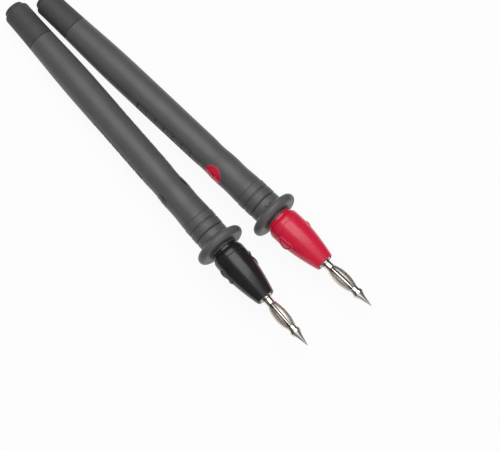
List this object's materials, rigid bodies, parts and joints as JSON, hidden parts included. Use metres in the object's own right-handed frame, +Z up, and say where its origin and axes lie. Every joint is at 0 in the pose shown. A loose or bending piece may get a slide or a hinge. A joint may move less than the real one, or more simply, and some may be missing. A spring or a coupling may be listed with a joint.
{
  "type": "test lead probe pair",
  "caption": "Red and black meter test probes with needle-ended lantern tips, sliding nose shrouds driven by twist finger guards, and soft round handles.",
  "frame": {"origin": "middle of the bounding box on the surface that the pair lies on", "axes": "+X towards the needle points, +Y towards the red probe, +Z up"},
  "size_m": [0.1441, 0.0342, 0.016],
  "materials": {
    "red_plastic": "satin moulded, fine grain",
    "black_plastic": "satin moulded, fine grain",
    "grip_rubber": "soft matt overmould",
    "guard_plastic": "matt moulded",
    "guide_plastic": "natural moulded",
    "rod_brass": "drawn",
    "tip_nickel": "bright nickel plate",
    "ring_steel": "spring steel",
    "gland_rubber": "matt"
  },
  "bodies": {
    "handles": {"red_handle_core": "red_plastic", "red_handle_grip": "grip_rubber", "red_guide_tube": "guide_plastic", "red_probe_rod": "rod_brass", "red_crimp_sleeve": "rod_brass", "red_inlet_gland": "gland_rubber", "red_lantern_pin": "tip_nickel", "black_handle_core": "black_plastic", "black_handle_grip": "grip_rubber", "black_guide_tube": "guide_plastic", "black_probe_rod": "rod_brass", "black_crimp_sleeve": "rod_brass", "black_inlet_gland": "gland_rubber", "black_lantern_pin": "tip_nickel"},
    "red_collar": {"red_twist_collar": "guard_plastic", "red_friction_ring": "gland_rubber", "red_retaining_ring": "ring_steel"},
    "red_shroud": {"red_nose_shroud": "red_plastic"},
    "red_spring": {"red_lantern_spring": "tip_nickel"},
    "black_collar": {"black_twist_collar": "guard_plastic", "black_friction_ring": "gland_rubber", "black_retaining_ring": "ring_steel"},
    "black_shroud": {"black_nose_shroud": "black_plastic"},
    "black_spring": {"black_lantern_spring": "tip_nickel"}
  },
  "joints": [
    {"name": "red_twist", "type": "hinge", "parent": "handles", "child": "red_collar", "pos_m": [0.03194, 0.00907, 0.00799], "axis": [-0.9982, -0.0462, -0.0393], "range_deg": [0, 180]},
    {"name": "red_slide", "type": "slide", "parent": "handles", "child": "red_shroud", "axis": [0.9982, 0.0462, 0.0393], "range_m": [0, 0.015]},
    {"name": "red_spin", "type": "hinge", "parent": "handles", "child": "red_spring", "pos_m": [0.06009, 0.01037, 0.0091], "axis": [0.9982, 0.0462, 0.0393], "continuous": true},
    {"name": "black_twist", "type": "hinge", "parent": "handles", "child": "black_collar", "pos_m": [0.02794, -0.00907, 0.00799], "axis": [-0.9982, 0.0462, -0.0393], "range_deg": [0, 180]},
    {"name": "black_slide", "type": "slide", "parent": "handles", "child": "black_shroud", "axis": [0.9982, -0.0462, 0.0393], "range_m": [0, 0.015]},
    {"name": "black_spin", "type": "hinge", "parent": "handles", "child": "black_spring", "pos_m": [0.05609, -0.01037, 0.0091], "axis": [0.9982, -0.0462, 0.0393], "continuous": true}
  ],
  "couplings": [
    {"joint": "red_twist", "follows": "red_slide", "rad_per_m": 209.44},
    {"joint": "black_twist", "follows": "black_slide", "rad_per_m": 209.44}
  ]
}
